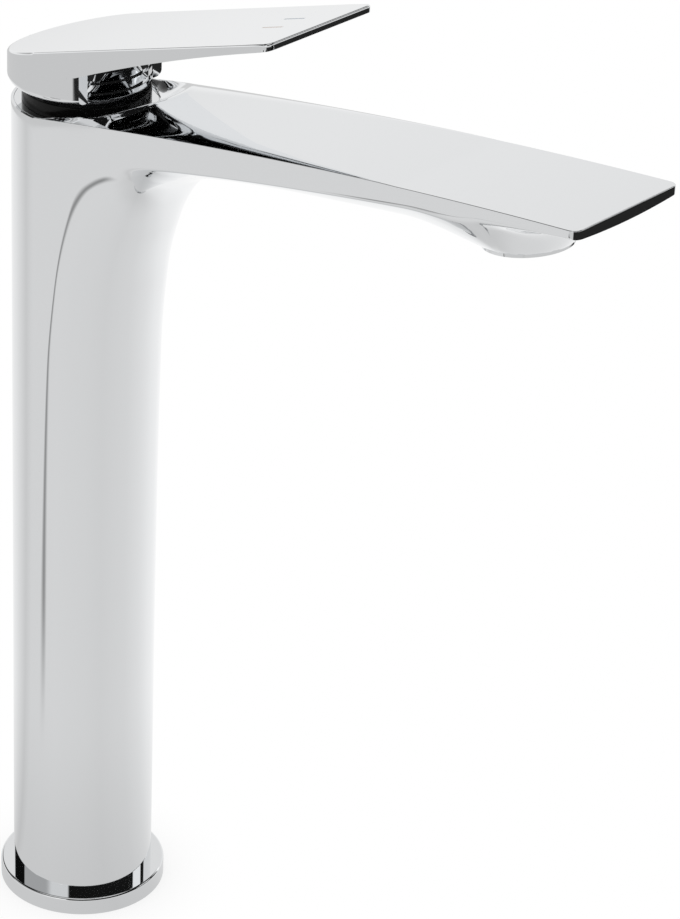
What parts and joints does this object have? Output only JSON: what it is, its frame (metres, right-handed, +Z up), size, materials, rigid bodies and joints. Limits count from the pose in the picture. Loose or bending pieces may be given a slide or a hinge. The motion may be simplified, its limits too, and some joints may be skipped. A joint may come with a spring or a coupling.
{
  "type": "basin tap",
  "caption": "Tall basin mixer tap: round column, wide flat rising spout with aerator, and a wedge lever that lifts for flow and turns for temperature.",
  "frame": {"origin": "centre of the foot on the deck that the tap stands on", "axes": "+X along the spout, +Z up the column"},
  "size_m": [0.2165, 0.051, 0.3108],
  "materials": {
    "polished_chrome": "polished",
    "seal_rubber": "matt",
    "raw_brass": "machined",
    "white_plastic": "moulded",
    "grey_plastic": "moulded",
    "black_plastic": "moulded",
    "white_ceramic": "lapped",
    "plain_steel": "turned",
    "hot_enamel": "smooth",
    "cold_enamel": "smooth"
  },
  "bodies": {
    "body": {"body_shell": "polished_chrome", "base_flange": "polished_chrome", "collar_ring": "polished_chrome", "cover_sleeve": "black_plastic", "aerator_housing": "polished_chrome", "flange_seal": "seal_rubber", "plug_seal": "seal_rubber", "hot_tube_seal": "seal_rubber", "cold_tube_seal": "seal_rubber", "hot_port_seal": "seal_rubber", "cold_port_seal": "seal_rubber", "aerator_seal": "seal_rubber", "base_plug": "raw_brass", "valve_block": "raw_brass", "clamp_nut": "raw_brass", "hot_inlet_tube": "raw_brass", "cold_inlet_tube": "raw_brass", "spout_water_tube": "white_plastic", "cartridge_housing": "white_plastic", "cartridge_base": "white_plastic", "aerator_insert": "grey_plastic", "fixed_disc": "white_ceramic", "aerator_screen": "plain_steel"},
    "rotor": {"guide_sleeve": "grey_plastic", "temperature_limiter": "grey_plastic", "spindle_pin": "plain_steel"},
    "lever": {"lever_handle": "polished_chrome", "handle_bush": "grey_plastic", "spindle": "plain_steel", "grub_screw": "plain_steel", "screw_cap": "polished_chrome", "hot_marker": "hot_enamel", "cold_marker": "cold_enamel"},
    "slider": {"disc_carrier": "white_plastic", "moving_disc": "white_ceramic"}
  },
  "joints": [
    {"name": "lever_turn", "type": "hinge", "parent": "body", "child": "rotor", "pos_m": [0, 0, 0.2632], "axis": [0, 0, 1], "range_deg": [-45, 45]},
    {"name": "lever_tilt", "type": "hinge", "parent": "rotor", "child": "lever", "pos_m": [0, 0, 0.2683], "axis": [0, -1, 0], "range_deg": [0, 15]},
    {"name": "disc_slide", "type": "slide", "parent": "rotor", "child": "slider", "axis": [1, 0, 0], "range_m": [0, 0.0049]}
  ],
  "couplings": [
    {"joint": "disc_slide", "follows": "lever_tilt", "m_per_rad": 0.0187}
  ]
}
